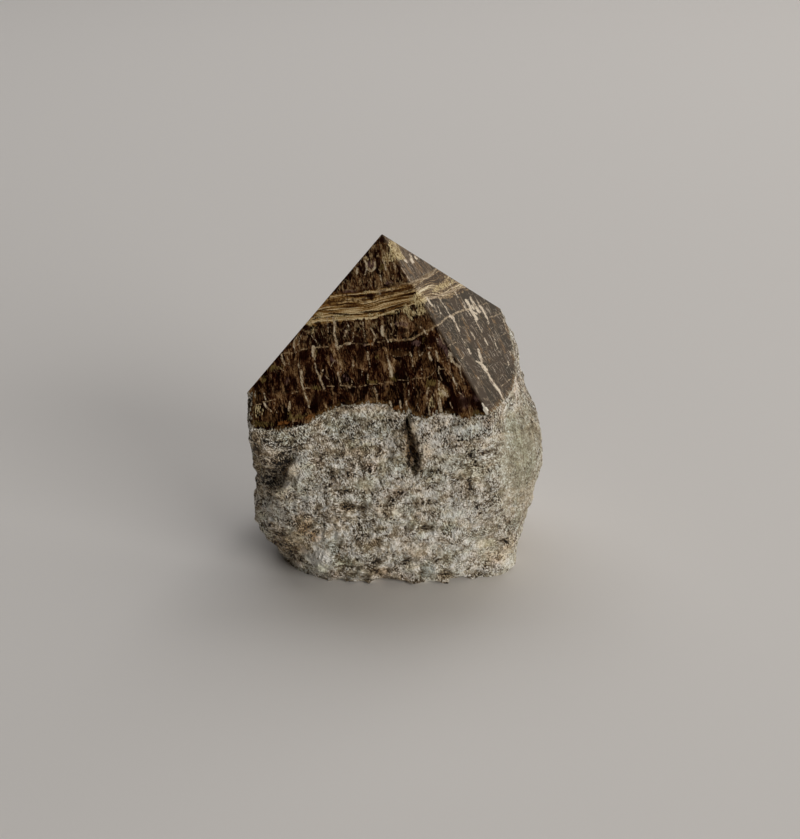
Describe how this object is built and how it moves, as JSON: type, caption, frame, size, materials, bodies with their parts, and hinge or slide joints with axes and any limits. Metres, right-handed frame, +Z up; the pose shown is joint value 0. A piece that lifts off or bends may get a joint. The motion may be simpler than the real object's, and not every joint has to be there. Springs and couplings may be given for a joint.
{
  "type": "rough aragonite point",
  "caption": "Rough lump of brown banded aragonite on a flat base, its top ground and polished into an uneven five-sided point.",
  "frame": {"origin": "middle of the bounding box in X and Y, at the height of the flat base", "axes": "+Z up through the stone towards its apex, -Y the way the large polished facet looks, +X to the right when that facet is faced"},
  "size_m": [0.0652, 0.0522, 0.0729],
  "materials": {
    "aragonite": "polished dark brown banded facets above, dull rough grey sugary skin below"
  },
  "bodies": {
    "root": {"aragonite_point": "aragonite"}
  },
  "joints": []
}
